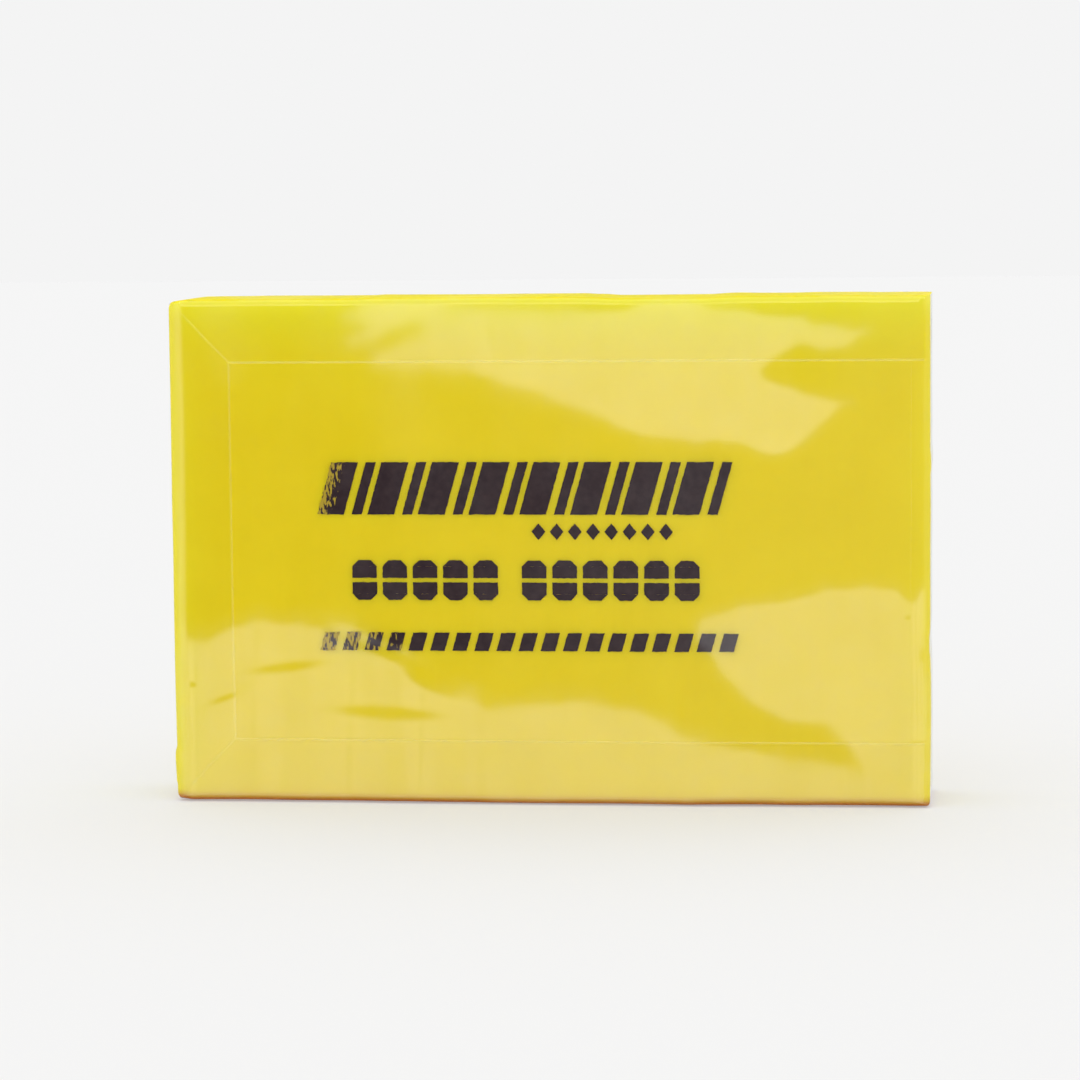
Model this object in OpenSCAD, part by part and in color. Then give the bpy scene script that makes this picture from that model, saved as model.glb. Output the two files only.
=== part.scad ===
// Detailing clay bar in a clear printed film, standing on one of its long edges.
// X runs along the bar, Y through its thickness with the printed face towards -Y,
// and Z is up. The origin is the middle of the face that the bar stands on.
// The film is a single sheet, drawn here as one solid for each of its folded panels.
// It covers the printed face, turns round the right end and covers the back. From
// there its margins fold over the top, the bottom and the left end, and are turned
// in over the printed face, with mitres at the two left corners.

/* [Bar] */
// Overall width, with the film
bar_w = 105; // [80:1:130]
// Overall height as it stands, with the film
bar_h = 70; // [66:1:90]
// Overall thickness, with the film
bar_t = 18; // [12:1:30]
// Radius of the edges round the front and back faces
edge_r = 1.6; // [1:0.1:3]
// Radius of the outline's two corners at the left end
left_corner_r = 1.2; // [0.5:0.1:3]
// Radius of the outline's two corners at the right end
right_corner_r = 0.5; // [0.4:0.1:3]

/* [Film] */
// Thickness of one layer of film
film_t = 0.15; // [0.1:0.05:0.3]
// How far the margins are turned in over the printed face
turn_in = 9; // [5:0.5:12]

/* [Print] */
// Thickness of the printed ink
ink_t = 0.05; // [0.03:0.01:0.1]
// How far a stripe leans over its height, in degrees
stripe_lean = 16; // [0:1:25]
// Width of the gap between the two halves of each bead
bead_gap = 0.6; // [0.4:0.1:1.2]

/* [Hidden] */
$fn = 48;
far = 200;                        // beyond the bar on every side
front_y = -bar_t / 2;             // outer face of the turned-in margins
panel_y = front_y + film_t;       // outer face of the printed panel
clay_front_y = panel_y + film_t;  // where the printed panel lies on the clay
back_y = bar_t / 2;
clay_back_y = back_y - film_t;
left_x = -bar_w / 2;
right_x = bar_w / 2;
flat_left_x = left_x + edge_r;    // the flat faces end here, where the edges start to turn
flat_right_x = right_x - edge_r;
flat_top_z = bar_h - edge_r;
middle_z = bar_h / 2;

clay_colour = [0.87, 0.76, 0.10];
film_colour = [0.93, 0.94, 0.92, 0.35];
ink_colour = [0.15, 0.11, 0.13];

// Each row of print is [left end, lowest edge above the bar's middle, height, pitch, count]
stripe_row = [-31.6, 5.2, 7.2, 7.0, 8];
wide_stripe = 3.7;
narrow_stripe = 1.4;
stripe_gap = 1.1;
diamond_row = [-1.9, 1.7, 2.3, 2.5, 8];
diamond_w = 1.9;
left_bead_row = [-26.8, -6.6, 5.5, 4.2, 5];
right_bead_row = [-3.3, -6.6, 5.5, 4.2, 6];
bead_w = 3.4;
dash_row = [-31.4, -13.6, 2.5, 3.06, 19];
dash_w = 2.0;

// A rectangle from low to high, with one radius for its left corners and one for its right
module round_rectangle(low, high, left_r, right_r) {
    corners = [[low.x + left_r, left_r], [high.x - right_r, right_r]];
    for (corner = corners, z = [low.y + corner[1], high.y - corner[1]])
        translate([corner[0], z]) circle(corner[1]);
    translate([low.x, low.y + left_r]) square([left_r, high.y - low.y - 2 * left_r]);
    translate([low.x + left_r, low.y]) square([high.x - low.x - left_r - right_r, high.y - low.y]);
    translate([high.x - right_r, low.y + right_r]) square([right_r, high.y - low.y - 2 * right_r]);
}

// A block from low to high. What is shaved off its round edges and corners is given by inset,
// the depth of the block's faces below those of the whole bar.
module round_block(low, high, inset) {
    r = edge_r - inset;
    intersection() {
        translate([0, high.y, 0]) rotate([90, 0, 0]) linear_extrude(high.y - low.y)
            round_rectangle([low.x, low.z], [high.x, high.z],
                            left_corner_r - inset, right_corner_r - inset);
        translate([0, 0, low.z]) linear_extrude(high.z - low.z)
            round_rectangle([low.x, low.y], [high.x, high.y], r, r);
        translate([low.x, 0, 0]) rotate([90, 0, 90]) linear_extrude(high.x - low.x)
            round_rectangle([low.y, low.z], [high.y, high.z], r, r);
    }
}

// A plain box from low to high
module box(low, high) {
    translate(low) cube(high - low);
}

module clay_shape() {
    round_block([left_x + film_t, clay_front_y, film_t],
                [right_x - film_t, clay_back_y, bar_h - film_t], film_t);
}

module front_panel_shape() {
    box([flat_left_x, panel_y, edge_r], [flat_right_x, clay_front_y, flat_top_z]);
}

module back_panel_shape() {
    box([flat_left_x, clay_back_y, edge_r], [flat_right_x, back_y, flat_top_z]);
}

// The three margins together: all the film left of the right end, but for the two panels
module folded_margins() {
    difference() {
        round_block([left_x, front_y, 0], [right_x, back_y, bar_h], 0);
        clay_shape();
        front_panel_shape();
        back_panel_shape();
        box([flat_right_x, -far, -far], [far, far, far]);
    }
}

// The region below the bottom left mitre's line and its level run to the right, at any depth
module below_mitre() {
    translate([0, far / 2, 0]) rotate([90, 0, 0]) linear_extrude(far)
        polygon([[left_x - 1, -1], [left_x + turn_in + 1, turn_in + 1], [far, turn_in + 1], [far, -1]]);
}

// The bottom flap's region: everything low on the bar, and a strip of its front
module bottom_flap_region() {
    intersection() {
        below_mitre();
        union() {
            box([-far, -far, -far], [far, far, edge_r]);
            box([-far, -far, -far], [far, panel_y, turn_in]);
        }
    }
}

module upside_down() {
    translate([0, 0, bar_h]) mirror([0, 0, 1]) children();
}

module clay_bar() {
    color(clay_colour) clay_shape();
}

module film_front_panel() {
    color(film_colour) front_panel_shape();
}

module film_back_panel() {
    color(film_colour) back_panel_shape();
}

module film_right_end() {
    color(film_colour) intersection() {
        difference() {
            round_block([left_x, panel_y, 0], [right_x, back_y, bar_h], 0);
            clay_shape();
        }
        box([flat_right_x, -far, -far], [far, far, far]);
    }
}

module film_flap_bottom() {
    color(film_colour) intersection() {
        folded_margins();
        bottom_flap_region();
    }
}

module film_flap_top() {
    color(film_colour) intersection() {
        folded_margins();
        upside_down() bottom_flap_region();
    }
}

module film_flap_left() {
    color(film_colour) difference() {
        intersection() {
            folded_margins();
            union() {
                box([-far, -far, -far], [flat_left_x, far, far]);
                box([-far, -far, -far], [left_x + turn_in, panel_y, far]);
            }
        }
        below_mitre();
        upside_down() below_mitre();
    }
}

// A thin layer of ink on the printed panel, shaped by a 2D outline
module ink() {
    color(ink_colour) translate([0, panel_y, middle_z]) rotate([90, 0, 0])
        linear_extrude(ink_t) children();
}

// A row's marks, each drawn by the children at its own lower left corner
module print_row(row) {
    for (i = [0:row[4] - 1])
        translate([row[0] + i * row[3], row[1]]) children();
}

module leaning_stripe(width, height) {
    lean = height * tan(stripe_lean);
    polygon([[0, 0], [width, 0], [width + lean, height], [lean, height]]);
}

module diamond(width, height) {
    polygon([[width / 2, 0], [width, height / 2], [width / 2, height], [0, height / 2]]);
}

// Two facing halves with cut corners, widest at the gap between them
module bead(width, height) {
    cut = width / 4;
    half = (height - bead_gap) / 2;
    for (side = [0, 1])
        translate([0, side * height]) mirror([0, side])
            polygon([[cut, 0], [width - cut, 0], [width, cut], [width, half], [0, half], [0, cut]]);
}

module print_stripe_row() {
    ink() print_row(stripe_row) {
        leaning_stripe(wide_stripe, stripe_row[2]);
        translate([wide_stripe + stripe_gap, 0]) leaning_stripe(narrow_stripe, stripe_row[2]);
    }
}

module print_diamond_row() {
    ink() print_row(diamond_row) diamond(diamond_w, diamond_row[2]);
}

module print_bead_row_left() {
    ink() print_row(left_bead_row) bead(bead_w, left_bead_row[2]);
}

module print_bead_row_right() {
    ink() print_row(right_bead_row) bead(bead_w, right_bead_row[2]);
}

module print_dash_row() {
    ink() print_row(dash_row) leaning_stripe(dash_w, dash_row[2]);
}

clay_bar();
film_front_panel();
film_right_end();
film_back_panel();
film_flap_top();
film_flap_bottom();
film_flap_left();
print_stripe_row();
print_diamond_row();
print_bead_row_left();
print_bead_row_right();
print_dash_row();
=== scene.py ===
"""Looks of the film-wrapped clay bar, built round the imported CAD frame.

Lengths are millimetres until a mesh is made. x runs along the bar, y through its thickness
with the printed face towards -y, and z is up from the surface that the bar stands on.
Every sheet of film and the clay itself are grids laid on a box with square edges, which
skin() then rounds off and presses in by a depth.
"""

import math

import bpy
import numpy as np
from mathutils import Matrix, Vector, noise


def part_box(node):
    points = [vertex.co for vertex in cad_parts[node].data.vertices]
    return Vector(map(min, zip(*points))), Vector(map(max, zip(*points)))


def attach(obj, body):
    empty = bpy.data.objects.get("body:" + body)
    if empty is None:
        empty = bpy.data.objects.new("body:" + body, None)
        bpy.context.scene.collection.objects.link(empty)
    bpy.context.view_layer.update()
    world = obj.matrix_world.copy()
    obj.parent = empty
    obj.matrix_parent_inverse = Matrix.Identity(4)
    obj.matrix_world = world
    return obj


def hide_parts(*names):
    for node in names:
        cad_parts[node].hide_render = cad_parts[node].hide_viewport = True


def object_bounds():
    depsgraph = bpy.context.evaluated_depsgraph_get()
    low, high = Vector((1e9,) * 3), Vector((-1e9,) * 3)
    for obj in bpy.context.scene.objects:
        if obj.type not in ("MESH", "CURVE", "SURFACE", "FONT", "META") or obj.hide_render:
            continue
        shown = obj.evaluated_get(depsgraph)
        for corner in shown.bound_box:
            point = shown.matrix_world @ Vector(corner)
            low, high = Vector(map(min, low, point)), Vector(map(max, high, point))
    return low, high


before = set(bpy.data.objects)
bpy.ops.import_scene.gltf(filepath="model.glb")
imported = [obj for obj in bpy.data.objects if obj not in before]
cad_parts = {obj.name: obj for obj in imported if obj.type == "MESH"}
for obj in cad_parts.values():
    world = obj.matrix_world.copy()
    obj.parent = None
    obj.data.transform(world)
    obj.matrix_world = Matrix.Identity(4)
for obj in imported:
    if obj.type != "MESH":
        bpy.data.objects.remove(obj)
cad_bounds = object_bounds()

MM = 0.001
LOW = np.array(cad_bounds[0]) / MM
HIGH = np.array(cad_bounds[1]) / MM
MIDDLE_Z = (LOW[2] + HIGH[2]) / 2
TURN_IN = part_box("film_flap_bottom")[1].z / MM   # width of the turned-in margins
LEFT_R = 3.2            # how far in from each side its edges start to round off
RIGHT_R = 2.6
TOP_R = 0.5
FOOT_R = 0.7
FRONT_R = 0.9           # and the same from the front and the back
PRESS_REACH = 3.0       # how far past its rounding a face's depth still pulls on the next face
OUTLINE_CORNERS = [      # x side, z side and radius of the outline's corners as seen from the front
    (-1, 1, 1.3), (-1, -1, 1.1), (1, -1, 0.7), (1, 1, 0.25),
]

FILM_T = 0.03           # thickness of the film
LAYER_GAP = 0.01        # air between two layers of film, or film and clay that it sticks to
LOOSE_GAP = 0.08        # air under the printed panel where it has come away from the clay
FRONT_DEPTH = 0.30      # how far the printed panel lies inside the CAD box, on average
SIDE_DEPTH = 0.17       # the same on the other faces
LEFT_DEPTH = 0.36       # and on the left end, where the folded film stands proud at the foot
INK_T = 0.008

# Camera, from the middle of the printed face
CAMERA_DISTANCE = 525.0
CAMERA_YAW = math.radians(6.81)
CAMERA_PITCH = math.radians(5.32)
CAMERA_ROLL = math.radians(-0.535)
CAMERA_LENS = 125.8
CAMERA_TARGET = np.array([-1.79, 0.0, 35.9])

# The studio's light as a reflection meets it. All angles are in degrees.
WINDOW_MIDDLE = -5.5    # elevation of the dark middle, round the camera
WINDOW_AZIMUTH = (-36.0, -18.0, 25.0, 65.0)  # it comes in and goes out between these
WINDOW_HALF = 3.8
WINDOW_SOFT = 0.9
PATCH_AZIMUTH = (-60.0, -25.0, 25.0, 60.0)   # the bright patch round it comes in and goes out at these
PATCH_ELEVATION = (10.0, 18.0)              # and fades this far above and below the middle
BRIGHT = (1.4, 2.2)   # it is uneven, between these
DARK = (0.05, 0.42)     # the dark middle, at its left and right
BACKDROP = 0.905        # the pale background behind the bar
FLOOR_GLOW = 0.35       # the share of the floor's light that shadows don't take away
ROOM = 0.8              # the light from everywhere else, at the horizon
BELOW = 0.2             # what a surface that leans down mirrors, from these elevations on
BELOW_FADE = (-30.0, -22.0)
OVERHEAD = 0.5          # and how much more comes from straight above

# Where the film leans back and mirrors the upper light. Points are (x, z) from the face's middle.
UPPER_WING = [
    (-27, 32.5), (-24.5, 35), (-24.5, 40), (-11.5, 40), (-11.5, 34.5), (-6, 33), (1, 32.8), (8, 33.2),
    (12, 34.2), (14, 35), (14, 40), (19.5, 40), (19.5, 35), (23, 33), (29, 32), (35, 32.4), (37, 31),
    (44.3, 30.4), (42, 28), (38, 27.5), (35, 28.5), (31, 26.8), (29, 25), (29.8, 23.4), (34, 22.8),
    (41.5, 20.6), (38, 17.5), (34, 14.2), (31, 13.5), (27, 14.4), (20, 15), (14, 15.8), (8, 18.5),
    (0, 20.8), (-10, 24), (-20, 26), (-22.5, 26.8), (-18, 30.8), (-22, 29.8), (-26, 29.3), (-24, 31),
]
# Where it leans forward and mirrors the lower light
RIGHT_LOBE = [
    (60, -4.5), (51.5, -4.5), (50, -6), (48, -4.3), (44, -4.2), (38, -5), (32, -6), (26, -7.3), (21, -9),
    (20.8, -12), (24, -17), (28.5, -21), (33, -23), (38, -23.5), (41.5, -27), (44, -31), (60, -34),
]
LOWER_EDGE = [
    (-60, -10), (-51, -11), (-47, -11.5), (-41, -9), (-34, -8.8), (-27, -10.5), (-19, -16), (-13, -19),
    (-8, -21), (-2, -19.8), (6, -20.2), (12, -22), (18, -24.5), (26, -26.5), (33, -28.3), (41, -29.6),
    (46, -30), (60, -30), (60, -45), (-60, -45),
]
# Slanting ridges along its edge: turn, how long for their width, middle and height
FEATHER_TURN = math.radians(-22)
FEATHER_STRETCH = 5.0
FEATHER_MIDDLE = (-18.0, -15.0)
FEATHER_HEIGHT = 3.2
# Short flat streaks in the lower part: middle x, middle z, half length, half width, turn in degrees
STREAKS = [(-36.8, -16.0, 6.2, 0.75, 7), (-22.5, -22.2, 8.5, 0.95, -3), (-45, -20.3, 3.0, 0.6, 20)]


def smooth(low, high, value):
    """0 below low, 1 above high, and an even curve between them"""
    t = np.clip((value - low) / (high - low), 0, 1)
    return t * t * (3 - 2 * t)


def ripples(points, size, seed=0.0):
    """Smooth noise between about -1 and 1 at (n, 3) points, with waves of that size"""
    offset = Vector((seed, 2.7 * seed, -1.3 * seed))
    return np.array([noise.noise(Vector(p) / size + offset) for p in points]) * 1.6


def inside_by(x, z, outline):
    """How far each point is inside an outline. It is negative outside."""
    corners = np.array(outline, float)
    nearest = np.full(x.shape, np.inf)
    inside = np.zeros(x.shape, bool)
    for start, end in zip(corners, np.roll(corners, -1, axis=0)):
        along = end - start
        t = np.clip(((x - start[0]) * along[0] + (z - start[1]) * along[1]) / (along @ along), 0, 1)
        off_x, off_z = x - start[0] - t * along[0], z - start[1] - t * along[1]
        nearest = np.minimum(nearest, np.hypot(off_x, off_z))
        if start[1] != end[1]:
            crosses = (start[1] > z) != (end[1] > z)
            inside ^= crosses & (x < start[0] + (z - start[1]) * along[0] / along[1])
    return np.where(inside, nearest, -nearest)


class FrontRelief:
    """The printed face's relief, from the direction that each point has to mirror.

    The lean of the film at each point is half the turn of its mirrored ray, and the relief is
    the running sum of the lean, from the face's middle line up and down.
    """

    STEP = 0.25
    BRIGHT_TURN = 5.3       # how far from the dark middle the bright parts look, in degrees
    FLATNESS = 0.75         # 1 leaves the rest of the face flat, 0 bends it to mirror one point

    def __init__(self):
        self.x = np.arange(LOW[0], HIGH[0] + self.STEP / 2, self.STEP)
        self.z = np.arange(LOW[2], HIGH[2] + self.STEP / 2, self.STEP)
        x, z = np.meshgrid(self.x, self.z - MIDDLE_Z)
        flat = np.stack([x.ravel(), np.zeros(x.size), z.ravel()], 1)
        wobble = (ripples(flat, 7.0, 3.1) * 0.5 + ripples(flat, 2.6, 8.4) * 0.25).reshape(x.shape)
        soft = 1 + 1.3 * (1 - smooth(-5, 20, x))
        up = smooth(-1.4, 1.6, (inside_by(x, z, UPPER_WING) + wobble) / soft)
        lower = inside_by(x, z, LOWER_EDGE) + wobble + self.feathers(x, z)
        down = np.maximum(smooth(-1.6, 1.8, inside_by(x, z, RIGHT_LOBE) + wobble),
                          smooth(-2.6, 2.4, lower))
        for middle_x, middle_z, length, width, turn in STREAKS:
            c, s = math.cos(math.radians(turn)), math.sin(math.radians(turn))
            u = ((x - middle_x) * c + (z - middle_z) * s) / length
            v = ((z - middle_z) * c - (x - middle_x) * s) / width
            down = down * (1 - 0.7 * np.exp(-(u * u + v * v) ** 1.5))
        eye_y, eye_z = camera_place()[1] - LOW[1], camera_place()[2] - MIDDLE_Z
        flat_turn = np.degrees(np.arctan((z - eye_z) / abs(eye_y)))
        middle = WINDOW_MIDDLE
        rest = middle + self.FLATNESS * (flat_turn - middle)
        wanted = rest * (1 - up - down) + (middle + self.BRIGHT_TURN) * up
        wanted = wanted + (middle - self.BRIGHT_TURN) * down
        waves = ripples(flat, 11.0, 5.5).reshape(x.shape)
        lean = np.tan(np.radians((wanted - flat_turn) / 2 + 0.4 * waves))
        depth = np.cumsum(lean, axis=0) * self.STEP
        self.depth = depth - depth[np.argmin(abs(self.z - MIDDLE_Z))]
        self.loose = np.clip(up + down, 0, 1)

    def feathers(self, x, z):
        """Thin slanting ridges that break up the lower part's edge, most of all left of the middle"""
        c, s = math.cos(FEATHER_TURN), math.sin(FEATHER_TURN)
        slanted = np.stack([(x * c + z * s).ravel() / FEATHER_STRETCH, np.zeros(x.size),
                            (z * c - x * s).ravel()], 1)
        amount = np.exp(-((x - FEATHER_MIDDLE[0]) / 13) ** 2 - ((z - FEATHER_MIDDLE[1]) / 7) ** 2)
        return FEATHER_HEIGHT * amount * ripples(slanted, 1.5, 7.7).reshape(x.shape)

    def look_up(self, table, x, z):
        """A table's values between its grid points"""
        column = np.clip((x - self.x[0]) / self.STEP, 0, len(self.x) - 1.001)
        row = np.clip((z - self.z[0]) / self.STEP, 0, len(self.z) - 1.001)
        i, j = row.astype(int), column.astype(int)
        a, b = row - i, column - j
        top = table[i + 1, j] * (1 - b) + table[i + 1, j + 1] * b
        return (table[i, j] * (1 - b) + table[i, j + 1] * b) * (1 - a) + top * a


def camera_axes():
    """The camera's right, up and ahead directions"""
    ahead = np.array([-math.sin(CAMERA_YAW) * math.cos(CAMERA_PITCH),
                      math.cos(CAMERA_YAW) * math.cos(CAMERA_PITCH), -math.sin(CAMERA_PITCH)])
    right = np.array([math.cos(CAMERA_YAW), math.sin(CAMERA_YAW), 0])
    up = np.cross(right, ahead)
    c, s = math.cos(CAMERA_ROLL), math.sin(CAMERA_ROLL)
    return c * right + s * up, c * up - s * right, ahead


def camera_place():
    return CAMERA_TARGET - camera_axes()[2] * CAMERA_DISTANCE


front_relief = FrontRelief()


# ---- The bar's skin ----

DENTS = [(-49.6, -19.2, 0.03), (49.5, -9.4, 0.03), (42.6, 7.2, 0.02)]     # x, z from the middle, height
DENT_R = 0.7
TUCK_T = 0.06           # how far the film stands off the ends between the folded-in corners


def faces_front(points):
    return points[:, 1] <= LOW[1] + 1e-6


def frontness(points):
    """1 on the printed face, 0 on the other faces, with an even change round the edges"""
    inset = np.minimum.reduce([points[:, 0] - LOW[0], HIGH[0] - points[:, 0],
                               points[:, 2] - LOW[2], HIGH[2] - points[:, 2]])
    behind = points[:, 1] - LOW[1]
    return np.where(faces_front(points), 0.5 + 0.5 * smooth(0, FRONT_R, inset),
                    0.5 * (1 - smooth(0, FRONT_R, behind)))


def looseness(points):
    """1 where the film stands off the clay, 0 where it sticks to it"""
    front = front_relief.look_up(front_relief.loose, points[:, 0], points[:, 2])
    others = smooth(-0.05, 0.25, ripples(points, 16.0, 1.7))
    share = frontness(points)
    return front * share + others * (1 - share)


def between(value, start, end, soft):
    """1 from start to end, 0 outside, with an even change of width soft at both"""
    return smooth(start - soft / 2, start + soft / 2, value) * (1 - smooth(end - soft / 2, end + soft / 2, value))


def film_depth(points):
    """How deep the film's outer side lies below the CAD box at (n, 3) points of the square box

    Each row holds the depth below the printed face, and below the other faces.
    """
    x, y, z = points.T
    front = FRONT_DEPTH + front_relief.look_up(front_relief.depth, x, z)
    for dent_x, dent_z, height in DENTS:
        away = ((x - dent_x) ** 2 + (z - MIDDLE_Z - dent_z) ** 2) / DENT_R ** 2
        front = front - height * np.exp(-away)
    others = SIDE_DEPTH - 0.05 * smooth(-0.05, 0.25, ripples(points, 16.0, 1.7))
    others = others + 0.03 * ripples(points, 9.0, 6.2)
    top = smooth(HIGH[2] - 2, HIGH[2] - 0.5, z)
    lift = 0.09 * between(x, -25, 5, 1.5) - 0.15 * between(x, 8, 23, 3) + 0.06 * between(x, 25, 44, 3)
    others = others - top * lift
    left = smooth(LOW[0] + 2.5, LOW[0] + 0.5, x)
    ear = between(z, 2.5, 7.2, 0.9) * (0.55 + 0.45 * smooth(3.0, 6.0, z))
    others = others + left * (LEFT_DEPTH - SIDE_DEPTH) * (1 - 1.4 * ear)
    from_rim = np.minimum(z - LOW[2], HIGH[2] - z)
    from_side = np.minimum(y - LOW[1], HIGH[1] - y)
    on_end = (x <= LOW[0] + 1e-6) | (x >= HIGH[0] - 1e-6)
    others = others - on_end * TUCK_T * smooth(-0.15, 0.15, from_rim - from_side) * smooth(0.5, 1.5, from_side)
    right = smooth(HIGH[0] - 2, HIGH[0] - 0.5, x)
    others = others - right * (0.1 * between(z, 46, 48.5, 1) - 0.1 * between(z, 21, 24, 1))
    return np.stack([front, others], 1)


def front_only(values):
    """An extra depth below the printed face and none below the others"""
    return np.stack([values, np.zeros_like(values)], 1)


def clay_depth(points):
    return film_depth(points) + FILM_T + LAYER_GAP + front_only(LOOSE_GAP * looseness(points))


def skin(points, depth):
    """Moves points of the square box onto the round-edged bar, at that depth below its faces"""
    near, far = np.array([LEFT_R, FRONT_R, FOOT_R]), np.array([RIGHT_R, FRONT_R, TOP_R])
    core = np.clip(points, LOW + near, HIGH - far)
    radius = np.where(points < (LOW + HIGH) / 2, near, far)
    out = (points - core) / radius
    outline = np.maximum(abs(out[:, 0]), abs(out[:, 2]))
    out = out / np.hypot(outline, out[:, 1])[:, None]
    front, others = depth.T
    from_low = 1 - smooth(near, near + PRESS_REACH, points - LOW)
    from_high = 1 - smooth(far, far + PRESS_REACH, HIGH - points)
    press = from_low * np.stack([others, front, others], 1) - from_high * others[:, None]
    placed = core + out * radius + press
    for side_x, side_z, corner_r in OUTLINE_CORNERS:
        corner = np.array([HIGH[0] if side_x > 0 else LOW[0], HIGH[2] if side_z > 0 else LOW[2]])
        centre = corner - corner_r * np.array([side_x, side_z])
        past = (placed[:, ::2] - centre) * [side_x, side_z]
        near = (past > 0).all(axis=1)
        squeeze = past[near].max(axis=1) / np.linalg.norm(past[near], axis=1)
        placed[near, ::2] = centre + past[near] * squeeze[:, None] * [side_x, side_z]
    return placed


def stops(*parts):
    """Joins runs of (start, end, step) into one rising or falling list of positions"""
    line = []
    for start, end, step in parts:
        count = max(1, round(abs(end - start) / step))
        run = np.linspace(start, end, count + 1)
        line += list(run if not line else run[1:])
    return np.array(line)


def across(axis, step, edge_step=0.2):
    """Positions from one face of the box to the opposite one, closer together round the edges"""
    low, high = LOW[axis], HIGH[axis]
    near, far = ((LEFT_R, RIGHT_R), (FRONT_R, FRONT_R), (FOOT_R, TOP_R))[axis]
    return stops((low, low + near, edge_step), (low + near, high - far, step), (high - far, high, edge_step))


def make_mesh(name, vertices, faces, material, attributes=None, plain_faces=0):
    """A smooth mesh with float attributes given by vertex, which are 0 on its last plain_faces"""
    mesh = bpy.data.meshes.new(name)
    mesh.from_pydata((vertices * MM).tolist(), [], faces)
    mesh.polygons.foreach_set("use_smooth", [True] * len(mesh.polygons))
    corners = np.array([v for face in faces for v in face])
    shown = len(corners) - 4 * plain_faces
    for key, values in (attributes or {}).items():
        layer = mesh.attributes.new(key, "FLOAT", "CORNER")
        by_corner = np.asarray(values, np.float32)[corners]
        by_corner[shown:] = 0
        layer.data.foreach_set("value", by_corner)
    mesh.update()
    piece = bpy.data.objects.new(name, mesh)
    bpy.context.scene.collection.objects.link(piece)
    mesh.materials.append(material)
    return piece


def grid_faces(rows, columns, start=0, flip=False):
    at = start + np.arange(rows * columns).reshape(rows, columns)
    quads = np.stack([at[:-1, :-1], at[:-1, 1:], at[1:, 1:], at[1:, :-1]], -1).reshape(-1, 4)
    return (quads[:, ::-1] if flip else quads).tolist()


def sheet(name, grid, depth, material, flip=False, thick=FILM_T, bare=1.0, haze_and_glint=0.0):
    """A thin closed sheet of film over an (rows, columns, 3) grid of points on the square box

    bare is how glossy its outer side is, and haze how cloudy, point by point; the cloudiness is partly whitening of
    the cut film and partly a painted highlight line.
    """
    rows, columns = grid.shape[:2]
    points = grid.reshape(-1, 3)
    outer = skin(points, depth)
    inner = skin(points, depth + thick)
    count = rows * columns
    faces = grid_faces(rows, columns, flip=flip) + grid_faces(rows, columns, count, not flip)
    at = np.arange(count).reshape(rows, columns)
    ring = np.concatenate([at[0, :-1], at[:-1, -1], at[-1, :0:-1], at[:0:-1, 0]])
    following = np.roll(ring, -1)
    rim = np.stack([ring, ring + count, following + count, following], 1)
    faces += (rim[:, ::-1] if flip else rim).tolist()
    piece = make_mesh(name, np.concatenate([outer, inner]), faces, material,
                      {"bare": np.concatenate([np.full(count, 1.0) * bare, np.zeros(count)]),
                       "haze_and_glint": np.concatenate([np.full(count, 1.0) * haze_and_glint, np.zeros(count)])},
                      plain_faces=len(rim))
    piece.data.set_sharp_from_angle(angle=math.radians(50))
    return piece


# ---- Materials ----

class Nodes:
    """A short way to write a material's nodes"""

    def __init__(self, name):
        self.material = bpy.data.materials.new(name)
        self.material.use_nodes = True
        self.tree = self.material.node_tree
        self.tree.nodes.clear()
        self.output = self.tree.nodes.new("ShaderNodeOutputMaterial")

    def add(self, kind, **settings):
        """A node. Keys with a capital or a digit set sockets, the others set the node itself."""
        node = self.tree.nodes.new("ShaderNode" + kind)
        for key, value in settings.items():
            if hasattr(node, key):
                setattr(node, key, value)
            else:
                self.put(node.inputs[key.replace("_", " ")], value)
        return node

    def put(self, socket, value):
        if isinstance(value, bpy.types.NodeSocket):
            self.tree.links.new(value, socket)
        else:
            socket.default_value = value

    def math(self, operation, *values):
        node = self.add("Math", operation=operation)
        for socket, value in zip(node.inputs, values):
            self.put(socket, value)
        return node.outputs[0]

    def mix_colour(self, factor, first, second):
        node = self.add("Mix", data_type="RGBA")
        self.put(node.inputs[0], factor)
        self.put(node.inputs[6], first)
        self.put(node.inputs[7], second)
        return node.outputs[2]

    def place(self):
        return self.add("TexCoord").outputs["Object"]

    def noise(self, size_mm, detail=3.0):
        """Noise from 0 to 1 with features of about this size"""
        return self.add("TexNoise", Vector=self.place(), Scale=1 / (size_mm * MM), Detail=detail).outputs["Fac"]

    def attribute(self, name):
        return self.add("Attribute", attribute_name=name).outputs["Fac"]

    def ramp(self, value, low, high, to_low=0.0, to_high=1.0):
        node = self.add("MapRange", Value=value)
        for key, number in (("From Min", low), ("From Max", high), ("To Min", to_low), ("To Max", to_high)):
            node.inputs[key].default_value = number
        return node.outputs["Result"]

    def finish(self, shader):
        self.tree.links.new(shader, self.output.inputs["Surface"])
        return self.material


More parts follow.
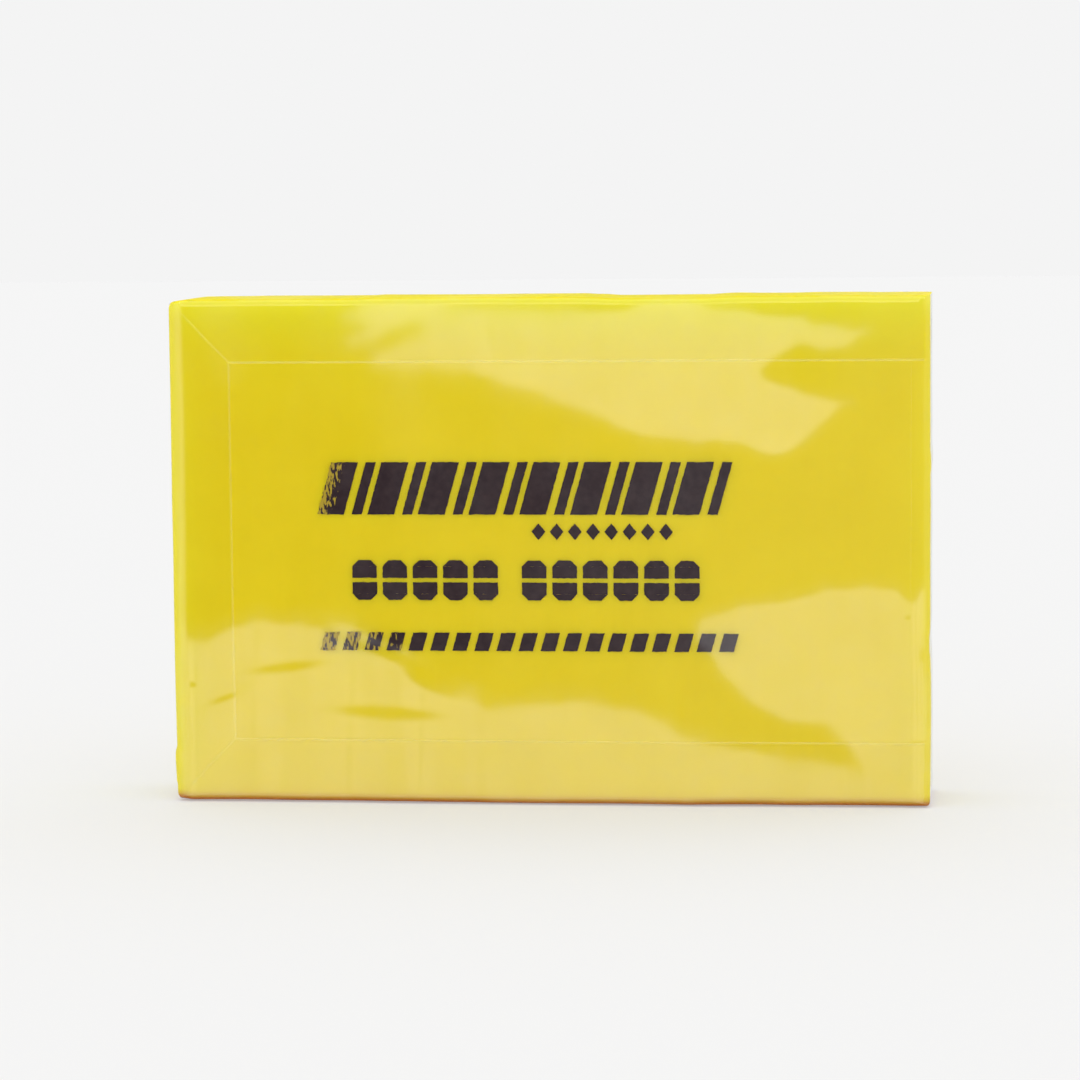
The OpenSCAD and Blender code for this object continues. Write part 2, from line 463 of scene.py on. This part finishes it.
def clay_material():
    n = Nodes("yellow_clay")
    drawn_out = n.add("Mapping", Vector=n.place(), Scale=(1.0, 1.0, 0.06)).outputs[0]
    drag_lines = n.add("TexNoise", Vector=drawn_out, Scale=1 / (0.8 * MM), Detail=2.0).outputs["Fac"]
    mottle = n.ramp(n.math("ADD", n.noise(9.0), n.math("MULTIPLY", drag_lines, 0.4)), 0.5, 0.9)
    colour = n.mix_colour(mottle, (0.765, 0.585, 0.012, 1), (0.79, 0.61, 0.015, 1))
    # Painted glow: the clay is painted paler and greener near the top and the ends, as light shining in through its
    # edges
    colour = n.mix_colour(n.attribute("painted_edge_glow"), colour, (0.81, 0.79, 0.025, 1))
    # Painted shade: the foot of the bar is painted dark orange, as the shade along where it stands
    colour = n.mix_colour(n.attribute("painted_foot_shade"), colour, (0.44, 0.13, 0.003, 1))
    # Painted reflection: where the film stands off the clay, the clay is painted a little paler, as the pale veil
    # that the loose film mirrors
    pale = n.math("MULTIPLY", n.attribute("loose"), n.ramp(n.noise(2.5), 0.3, 0.7, 0.05, 0.10))
    colour = n.mix_colour(pale, colour, (0.95, 0.90, 0.55, 1))
    grain = n.noise(0.6, 4.0)
    bump = n.add("Bump", Strength=0.15, Distance=0.05 * MM, Height=grain)
    shader = n.add("BsdfPrincipled", Base_Color=colour, Roughness=n.ramp(grain, 0.3, 0.7, 0.45, 0.6),
                   Subsurface_Weight=0.8, Subsurface_Scale=0.003, Normal=bump.outputs[0])
    shader.inputs["Subsurface Radius"].default_value = (1.0, 0.65, 0.12)
    shader.inputs["Specular IOR Level"].default_value = 0.0
    shader.subsurface_method = "BURLEY"
    return n.finish(shader.outputs[0])


def film_material():
    n = Nodes("clear_film")
    outward = n.math("SUBTRACT", 1.0, n.add("NewGeometry").outputs["Backfacing"])
    mirror = n.math("MULTIPLY", n.add("Fresnel", IOR=1.6).outputs[0], outward)
    mirror = n.math("MULTIPLY", mirror, n.attribute("bare"))
    clear = n.add("BsdfTransparent", Color=(0.995, 0.995, 0.99, 1))
    gloss = n.add("BsdfGlossy", Color=(1, 1, 1, 1), Roughness=n.ramp(n.noise(5.0), 0.3, 0.7, 0.03, 0.09))
    both = n.add("MixShader")
    n.put(both.inputs[0], mirror)
    n.put(both.inputs[1], clear.outputs[0])
    n.put(both.inputs[2], gloss.outputs[0])
    # Partly whitening of the cut film, partly a painted highlight: a pale yellow diffuse colour along the cut edges
    # and mitres, so that their glint shows from every side
    whitening_and_glint = n.add("BsdfDiffuse", Color=(1.0, 0.93, 0.35, 1))
    edged = n.add("MixShader")
    n.put(edged.inputs[0], n.math("MULTIPLY", n.attribute("haze_and_glint"), outward))
    n.put(edged.inputs[1], both.outputs[0])
    n.put(edged.inputs[2], whitening_and_glint.outputs[0])
    return n.finish(edged.outputs[0])


def ink_material():
    n = Nodes("dark_ink")
    body = n.ramp(n.noise(1.2, 4.0), 0.3, 0.7)
    colour = n.mix_colour(body, (0.026, 0.014, 0.018, 1), (0.040, 0.024, 0.027, 1))
    stretched = n.add("Mapping", Vector=n.place(), Scale=(1.0, 1.0, 0.35), Rotation=(0, math.radians(-16), 0)).outputs[0]
    bristles = n.add("TexNoise", Vector=stretched, Scale=1 / (0.35 * MM), Detail=3.0).outputs["Fac"]
    bristles = n.math("ADD", bristles, n.math("MULTIPLY", n.attribute("worn"), 0.16))
    gaps = n.math("MULTIPLY", n.ramp(bristles, 0.58, 0.66), n.math("GREATER_THAN", n.attribute("worn"), 0.01))
    colour = n.mix_colour(gaps, colour, (0.42, 0.30, 0.03, 1))
    shader = n.add("BsdfPrincipled", Base_Color=colour, Roughness=n.ramp(n.noise(5.0), 0.3, 0.7, 0.06, 0.14),
                   IOR=1.6)
    return n.finish(shader.outputs[0])


# ---- Pieces ----

FILM = film_material()
INK = ink_material()
CLAY = clay_material()


def face_grid(first, second, build):
    """A grid of points whose rows step through first and columns through second"""
    a, b = np.meshgrid(first, second, indexing="ij")
    return np.stack(build(a, b), -1)


def on_front(x, z):
    return [x, np.full_like(x, LOW[1]), z]


def on_back(x, z):
    return [x, np.full_like(x, HIGH[1]), z]


def ride(piece, slot, *nodes):
    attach(piece, "root")
    if nodes:
        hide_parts(*nodes)


def make_clay():
    """One closed block: four walls round the bar, and the front and back faces"""
    xs = across(0, 0.7)
    ys = across(1, 1.2)
    zs = across(2, 0.7)
    round_x = np.concatenate([xs, np.full(len(ys) - 1, HIGH[0]), xs[-2::-1], np.full(len(ys) - 2, LOW[0])])
    round_y = np.concatenate([np.full(len(xs), LOW[1]), ys[1:], np.full(len(xs) - 1, HIGH[1]), ys[-2:0:-1]])
    rings = np.stack([np.broadcast_to(round_x, (len(zs), len(round_x))),
                      np.broadcast_to(round_y, (len(zs), len(round_y))),
                      np.broadcast_to(zs[:, None], (len(zs), len(round_x)))], -1)
    around = len(round_x)
    at = np.arange(len(zs) * around).reshape(len(zs), around)
    faces = np.stack([at[:-1], np.roll(at[:-1], -1, 1), np.roll(at[1:], -1, 1), at[1:]], -1).reshape(-1, 4).tolist()
    points = [rings.reshape(-1, 3)]
    start = at.size
    for level, ring in ((LOW[2], at[0]), (HIGH[2], at[-1])):
        inner = face_grid(xs[1:-1], ys[1:-1], lambda x, y: [x, y, np.full_like(x, level)])
        columns, rows = len(xs), len(ys)
        lid = np.empty((columns, rows), int)
        lid[1:-1, 1:-1] = start + np.arange((columns - 2) * (rows - 2)).reshape(columns - 2, rows - 2)
        lid[:, 0] = ring[:columns]
        lid[-1, :] = ring[columns - 1:columns + rows - 1]
        lid[::-1, -1] = ring[columns + rows - 2:2 * columns + rows - 2]
        lid[0, ::-1] = np.append(ring[2 * columns + rows - 3:], ring[0])
        quads = np.stack([lid[:-1, :-1], lid[1:, :-1], lid[1:, 1:], lid[:-1, 1:]], -1).reshape(-1, 4)
        faces += (quads if level == HIGH[2] else quads[:, ::-1]).tolist()
        points.append(inner.reshape(-1, 3))
        start += (columns - 2) * (rows - 2)
    points = np.concatenate(points)
    clay = make_mesh("clay", skin(points, clay_depth(points)), faces, CLAY,
                     {"loose": looseness(points), "painted_edge_glow": painted_edge_glow(points), "painted_foot_shade": np.clip(painted_foot_shade(points), 0, 1)})
    ride(clay, "clay", "clay_bar")


def painted_edge_glow(points):
    """1 where the clay's colour is painted paler and greener, a painted glow of light coming in through a nearby
    edge: most of all along the top
    """
    top, left, right = HIGH[2] - points[:, 2], points[:, 0] - LOW[0], HIGH[0] - points[:, 0]
    along_top = (0.5 + 0.5 * smooth(0, 1.0, top + faces_front(points) * 0.4)) * np.exp(-top / 5.0)
    return np.maximum.reduce([0.9 * along_top, 0.5 * np.exp(-left / 3.0), 0.3 * np.exp(-right / 2.5)])


def painted_foot_shade(points):
    """1 along the foot of the bar, where the clay's colour is painted dark orange as shade: little light reaches it
    there, and what leaves has come a long way through the clay
    """
    return np.exp(-((points[:, 2] - LOW[2]) / 0.8) ** 2) + 0.07 * np.exp(-(points[:, 2] - LOW[2]) / 2.5)


def uncovered(points):
    """0 on the front where a turned-in margin lies over it, 1 elsewhere"""
    inset = np.minimum.reduce([points[:, 0] - LOW[0], points[:, 2] - LOW[2], HIGH[2] - points[:, 2]])
    return np.where(faces_front(points), smooth(-0.4, 0, inset - TURN_IN), 1)


def make_front_panel():
    xs = across(0, 0.5)
    grid = face_grid(across(2, 0.5), xs[xs <= HIGH[0] - RIGHT_R + 1e-6], lambda z, x: on_front(x, z))
    points = grid.reshape(-1, 3)
    piece = sheet("sheet_front", grid, film_depth(points), FILM, bare=uncovered(points))
    ride(piece, "film", "film_front_panel")


def make_back_panel():
    xs = stops((HIGH[0] - RIGHT_R, LOW[0] + LEFT_R, 0.9), (LOW[0] + LEFT_R, LOW[0], 0.2))
    grid = face_grid(across(2, 0.9), xs, lambda z, x: on_back(x, z))
    piece = sheet("sheet_back", grid, film_depth(grid.reshape(-1, 3)), FILM)
    ride(piece, "film", "film_back_panel")


def make_right_end():
    turn = stops((HIGH[0] - RIGHT_R, HIGH[0], 0.2))
    ys = across(1, 0.8)
    x = np.concatenate([turn, np.full(len(ys) - 1, HIGH[0]), turn[-2::-1]])
    y = np.concatenate([np.full(len(turn), LOW[1]), ys[1:], np.full(len(turn) - 1, HIGH[1])])
    zs = across(2, 0.8)
    grid = np.stack([np.broadcast_to(x, (len(zs), len(x))), np.broadcast_to(y, (len(zs), len(y))),
                     np.broadcast_to(zs[:, None], (len(zs), len(x)))], -1)
    points = grid.reshape(-1, 3)
    piece = sheet("sheet_right_end", grid, film_depth(points), FILM, bare=uncovered(points))
    ride(piece, "film", "film_right_end")


# The cut edges' cloudy line is partly whitening of the film and partly a painted highlight, brightest at the top
EDGE_W = 0.3            # how wide the cut edge's cloudy line is
EDGE_RAMP = 0.15        # and its slope down to the panel
TOP_MATT = 0.3          # how much of its gloss the top one loses
TOP_HAZE_AND_GLINT = 0.16         # and how cloudy it is: most at the top
OTHER_HAZE_AND_GLINT = 0.08
CUT_T = 0.2             # how thick it still is where it ends, as a share of the film
TOP_DULL = 0.9          # how much gloss the film has lost on top of the bar


def flap_edges(points, from_cut):
    """1 along the cut edges and along the mitres, from a little way inside the corners"""
    left, foot, top = points[:, 0] - LOW[0], points[:, 2] - LOW[2], HIGH[2] - points[:, 2]
    off_mitre = abs(left - np.minimum(foot, top)) / math.sqrt(2)
    mitre = smooth(1.5, 3.0, left) * (1 - smooth(0.05, 0.28, off_mitre))
    cut = 1 - smooth(EDGE_W * 0.8, EDGE_W * 1.4, from_cut)
    return np.maximum(cut, mitre) * faces_front(points)


def make_flap(name, node, grid, from_cut, flip, edge_haze_and_glint, edge_matt):
    """A turned-in margin: one layer over the printed panel, thinning out at its cut edge"""
    points = grid.reshape(-1, 3)
    edges = flap_edges(points, from_cut(points))
    thin = FILM_T * (CUT_T + (1 - CUT_T) * smooth(0, EDGE_RAMP, from_cut(points)))
    depth = film_depth(points) - front_only(LAYER_GAP + thin)
    dull = TOP_DULL * (points[:, 2] >= HIGH[2] - 1e-6)
    piece = sheet(name, grid, depth, FILM, flip, thick=np.stack([thin, np.full_like(thin, FILM_T)], 1),
                  bare=1 - np.maximum(edge_matt * edges, dull), haze_and_glint=edge_haze_and_glint * edges)
    ride(piece, "film", node)


def make_long_flap(name, node, top):
    """The margin at the top or the bottom: turned in on the front, over the edge and to the back"""
    near, far = (HIGH[2], LOW[2]) if top else (LOW[2], HIGH[2])
    toward, turn = (1, TOP_R) if top else (-1, FOOT_R)
    front_z = stops((near - toward * TURN_IN, near - toward * (TURN_IN - 0.6), 0.05),
                    (near - toward * (TURN_IN - 0.6), near - toward * turn, 0.5),
                    (near - toward * turn, near, 0.2))
    edge_y = across(1, 0.8)[1:]
    back_z = stops((near, near - toward * turn, 0.2))[1:]
    z = np.concatenate([front_z, np.full(len(edge_y), near), back_z])
    y = np.concatenate([np.full(len(front_z), LOW[1]), edge_y, np.full(len(back_z), HIGH[1])])
    left = LOW[0] + np.where(y <= LOW[1] + 1e-6, abs(near - z), 0)
    share = (across(0, 0.5) - LOW[0]) / (HIGH[0] - LOW[0])
    x = left[:, None] + share[None, :] * (HIGH[0] - left[:, None])
    grid = np.stack([x, np.broadcast_to(y[:, None], x.shape), np.broadcast_to(z[:, None], x.shape)], -1)

    def from_cut(points):
        return np.where(faces_front(points), TURN_IN - abs(near - points[:, 2]), TURN_IN)

    make_flap(name, node, grid, from_cut, not top, TOP_HAZE_AND_GLINT if top else OTHER_HAZE_AND_GLINT, TOP_MATT if top else 0)


def make_left_flap():
    """The margin at the left end, mitred over the other two"""
    front_x = stops((LOW[0] + TURN_IN, LOW[0] + TURN_IN - 0.6, 0.05),
                    (LOW[0] + TURN_IN - 0.6, LOW[0] + LEFT_R, 0.5), (LOW[0] + LEFT_R, LOW[0], 0.2))
    end_y = across(1, 0.8)[1:]
    back_x = stops((LOW[0], LOW[0] + LEFT_R, 0.2))[1:]
    x = np.concatenate([front_x, np.full(len(end_y), LOW[0]), back_x])
    y = np.concatenate([np.full(len(front_x), LOW[1]), end_y, np.full(len(back_x), HIGH[1])])
    inset = np.where(y <= LOW[1] + 1e-6, x - LOW[0], 0)
    share = (across(2, 0.5) - LOW[2]) / (HIGH[2] - LOW[2])
    z = LOW[2] + inset[:, None] + share[None, :] * (HIGH[2] - LOW[2] - 2 * inset[:, None])
    grid = np.stack([np.broadcast_to(x[:, None], z.shape), np.broadcast_to(y[:, None], z.shape), z], -1)

    def from_cut(points):
        return np.where(faces_front(points), LOW[0] + TURN_IN - points[:, 0], TURN_IN)

    make_flap("sheet_flap_left", "film_flap_left", grid, from_cut, False, OTHER_HAZE_AND_GLINT, 0)


# ---- Print ----

STRIPE_LEAN = math.tan(math.radians(16))


def worn(points, left, reach):
    """1 at the left end of a row, where the ink went on dry, and 0 beyond its reach"""
    lean = (points[:, 2] - points[:, 2].min()) * STRIPE_LEAN
    return 1 - smooth(0.2, reach, points[:, 0] - lean - left) if reach else np.zeros(len(points))


def print_marks(name, node, quads, dry=0.0):
    """A row of marks, each given by its four corners in order, laid on the printed panel

    dry is how far in from the row's left end its ink is patchy.
    """
    low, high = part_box(node)
    vertices, faces, wear = [], [], []
    for corners in quads:
        corners = np.array(corners, float)
        width = np.linalg.norm(corners[1] - corners[0])
        height = np.linalg.norm(corners[3] - corners[0])
        s, t = np.meshgrid(np.linspace(0, 1, max(3, round(width / 0.25))),
                           np.linspace(0, 1, max(3, round(height / 0.25))))
        s, t = s[..., None], t[..., None]
        flat = (corners[0] * (1 - s) + corners[1] * s) * (1 - t) + (corners[3] * (1 - s) + corners[2] * s) * t
        rows, columns = flat.shape[:2]
        flat = flat.reshape(-1, 2)
        points = np.stack([flat[:, 0], np.full(len(flat), LOW[1]), flat[:, 1]], 1)
        patchy = worn(points, low.x / MM, dry)
        ragged = 0.04 + 0.07 * patchy
        points[:, 0] += ragged * ripples(points, 0.45, 4.4)
        points[:, 2] += ragged * ripples(points, 0.45, 9.9)
        depth = film_depth(points)
        start = sum(len(v) for v in vertices)
        count = len(points)
        vertices += [skin(points, depth - INK_T - 0.004), skin(points, depth - 0.002)]
        faces += grid_faces(rows, columns, start) + grid_faces(rows, columns, start + count, True)
        at = start + np.arange(count).reshape(rows, columns)
        ring = np.concatenate([at[0, :-1], at[:-1, -1], at[-1, :0:-1], at[:0:-1, 0]])
        following = np.roll(ring, -1)
        faces += np.stack([ring, ring + count, following + count, following], 1).tolist()
        wear += [patchy] * 2
    piece = make_mesh(name, np.concatenate(vertices), faces, INK, {"worn": np.concatenate(wear)})
    piece.data.set_sharp_from_angle(angle=math.radians(50))
    ride(piece, "ink", node)


def row_box(node):
    low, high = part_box(node)
    return low.x / MM, low.z / MM, high.x / MM, high.z / MM


def leaning_block(x, z, width, height):
    lean = height * STRIPE_LEAN
    return [(x, z), (x + width, z), (x + width + lean, z + height), (x + lean, z + height)]


def make_stripe_row():
    left, low, right, high = row_box("print_stripe_row")
    height, pitch = high - low, 7.0
    quads = []
    for i in range(8):
        quads.append(leaning_block(left + i * pitch, low, 3.7, height))
        quads.append(leaning_block(left + i * pitch + 4.8, low, 1.4, height))
    print_marks("print_stripes", "print_stripe_row", quads, dry=2.2)


def make_diamond_row():
    left, low, right, high = row_box("print_diamond_row")
    quads = []
    for i in range(8):
        x, half, z = left + i * 2.5, 0.95, (low + high) / 2
        quads.append([(x, z), (x + half, low), (x + 2 * half, z), (x + half, high)])
    print_marks("print_diamonds", "print_diamond_row", quads)


def make_bead_row(name, node, count):
    left, low, right, high = row_box(node)
    width, cut, gap = 3.4, 0.85, 0.6
    half = (high - low - gap) / 2
    quads = []
    for i in range(count):
        x = left + i * 4.2
        for start, way in ((low, 1), (high, -1)):
            corners = [(x + cut, start), (x + width - cut, start), (x + width, start + way * cut), (x, start + way * cut)]
            block = [(x, start + way * cut), (x + width, start + way * cut), (x + width, start + way * half),
                     (x, start + way * half)]
            quads += [q if way > 0 else [q[1], q[0], q[3], q[2]] for q in (corners, block)]
    print_marks(name, node, quads)


def make_dash_row():
    left, low, right, high = row_box("print_dash_row")
    quads = [leaning_block(left + i * 3.06, low, 2.0, high - low) for i in range(19)]
    print_marks("print_dashes", "print_dash_row", quads, dry=12.0)


# ---- Studio ----

def make_floor():
    size = 3.0
    mesh = bpy.data.meshes.new("floor")
    mesh.from_pydata([(-size, -size, 0), (size, -size, 0), (size, size, 0), (-size, size, 0)], [], [(0, 1, 2, 3)])
    floor = bpy.data.objects.new("floor", mesh)
    bpy.context.scene.collection.objects.link(floor)
    n = Nodes("pale_floor")
    shade = n.ramp(n.noise(400.0), 0.3, 0.7, 0.0, 1.0)
    colour = n.mix_colour(shade, (0.80, 0.80, 0.80, 1), (0.802, 0.802, 0.802, 1))
    lit = n.add("MixShader")
    n.put(lit.inputs[0], FLOOR_GLOW)
    n.put(lit.inputs[1], n.add("BsdfDiffuse", Color=colour).outputs[0])
    n.put(lit.inputs[2], n.add("Emission", Strength=BACKDROP).outputs[0])
    mesh.materials.append(n.finish(lit.outputs[0]))
    floor.visible_glossy = False


def make_world():
    world = bpy.data.worlds.new("studio")
    bpy.context.scene.world = world
    world.use_nodes = True
    tree = world.node_tree
    tree.nodes.clear()

    def add(kind, *values, **settings):
        node = tree.nodes.new("ShaderNode" + kind)
        for key, value in settings.items():
            setattr(node, key, value)
        for socket, value in zip(node.inputs, values):
            if isinstance(value, bpy.types.NodeSocket):
                tree.links.new(value, socket)
            else:
                socket.default_value = value
        return node

    def maths(operation, *values):
        return add("Math", *values, operation=operation).outputs[0]

    def fade(value, start, end):
        """1 below start and 0 above end"""
        return add("MapRange", value, start, end, 1.0, 0.0, interpolation_type="SMOOTHSTEP").outputs[0]

    def across_azimuth(azimuth, limits):
        before = fade(azimuth, limits[0], limits[1])
        return maths("MULTIPLY", maths("SUBTRACT", 1.0, before), fade(azimuth, limits[2], limits[3]))

    def blend(share, first, second):
        return maths("ADD", maths("MULTIPLY", first, maths("SUBTRACT", 1.0, share)), maths("MULTIPLY", second, share))

    direction_in = add("TexCoord").outputs["Generated"]
    direction = add("SeparateXYZ", direction_in)
    x, y, z = direction.outputs
    degrees = 180 / math.pi
    azimuth = maths("MULTIPLY", maths("ARCTAN2", x, maths("MULTIPLY", y, -1.0)), degrees)
    elevation = maths("MULTIPLY", maths("ARCSINE", z), degrees)
    off_elevation = maths("ABSOLUTE", maths("SUBTRACT", elevation, WINDOW_MIDDLE))
    window = maths("MULTIPLY", across_azimuth(azimuth, WINDOW_AZIMUTH),
                   fade(off_elevation, WINDOW_HALF - WINDOW_SOFT, WINDOW_HALF + WINDOW_SOFT))
    patch = maths("MULTIPLY", across_azimuth(azimuth, PATCH_AZIMUTH),
                  fade(off_elevation, PATCH_ELEVATION[0], PATCH_ELEVATION[1]))
    room = maths("ADD", ROOM, maths("MULTIPLY", OVERHEAD, fade(maths("MULTIPLY", z, -1.0), -1.0, 0.0)))
    clouds = add("TexNoise", direction_in)
    clouds.inputs["Scale"].default_value = 12.0
    cloud = clouds.outputs["Fac"]
    bright = add("MapRange", cloud, 0.35, 0.65, BRIGHT[0], BRIGHT[1]).outputs[0]
    room = blend(fade(elevation, BELOW_FADE[0], BELOW_FADE[1]), room, BELOW)
    lit = blend(patch, room, bright)
    dark = add("MapRange", azimuth, -12.0, -2.0, DARK[0], DARK[1], interpolation_type="SMOOTHSTEP").outputs[0]
    lit = blend(window, lit, dark)
    light = add("Background", (1, 1, 1, 1), lit)
    backdrop = add("Background", (1, 1, 1, 1), BACKDROP)
    mixed = add("MixShader", add("LightPath").outputs["Is Camera Ray"], light.outputs[0], backdrop.outputs[0])
    tree.links.new(mixed.outputs[0], add("OutputWorld").inputs["Surface"])


def make_camera():
    data = bpy.data.cameras.new("camera")
    data.lens = CAMERA_LENS
    data.clip_start = 0.01
    camera = bpy.data.objects.new("camera", data)
    bpy.context.scene.collection.objects.link(camera)
    right, up, ahead = camera_axes()
    turn = Matrix(np.stack([right, up, -ahead], axis=1).tolist()).to_4x4()
    camera.matrix_world = Matrix.Translation(Vector(camera_place()) * MM) @ turn
    bpy.context.scene.camera = camera


make_clay()
make_front_panel()
make_right_end()
make_back_panel()
make_long_flap("sheet_flap_top", "film_flap_top", True)
make_long_flap("sheet_flap_foot", "film_flap_bottom", False)
make_left_flap()
make_stripe_row()
make_diamond_row()
make_bead_row("print_beads_left", "print_bead_row_left", 5)
make_bead_row("print_beads_right", "print_bead_row_right", 6)
make_dash_row()
make_floor()
make_world()
make_camera()
bpy.context.scene.view_settings.view_transform = "Standard"
bpy.context.scene.cycles.transparent_max_bounces = 24   # light crosses up to six surfaces of film each way
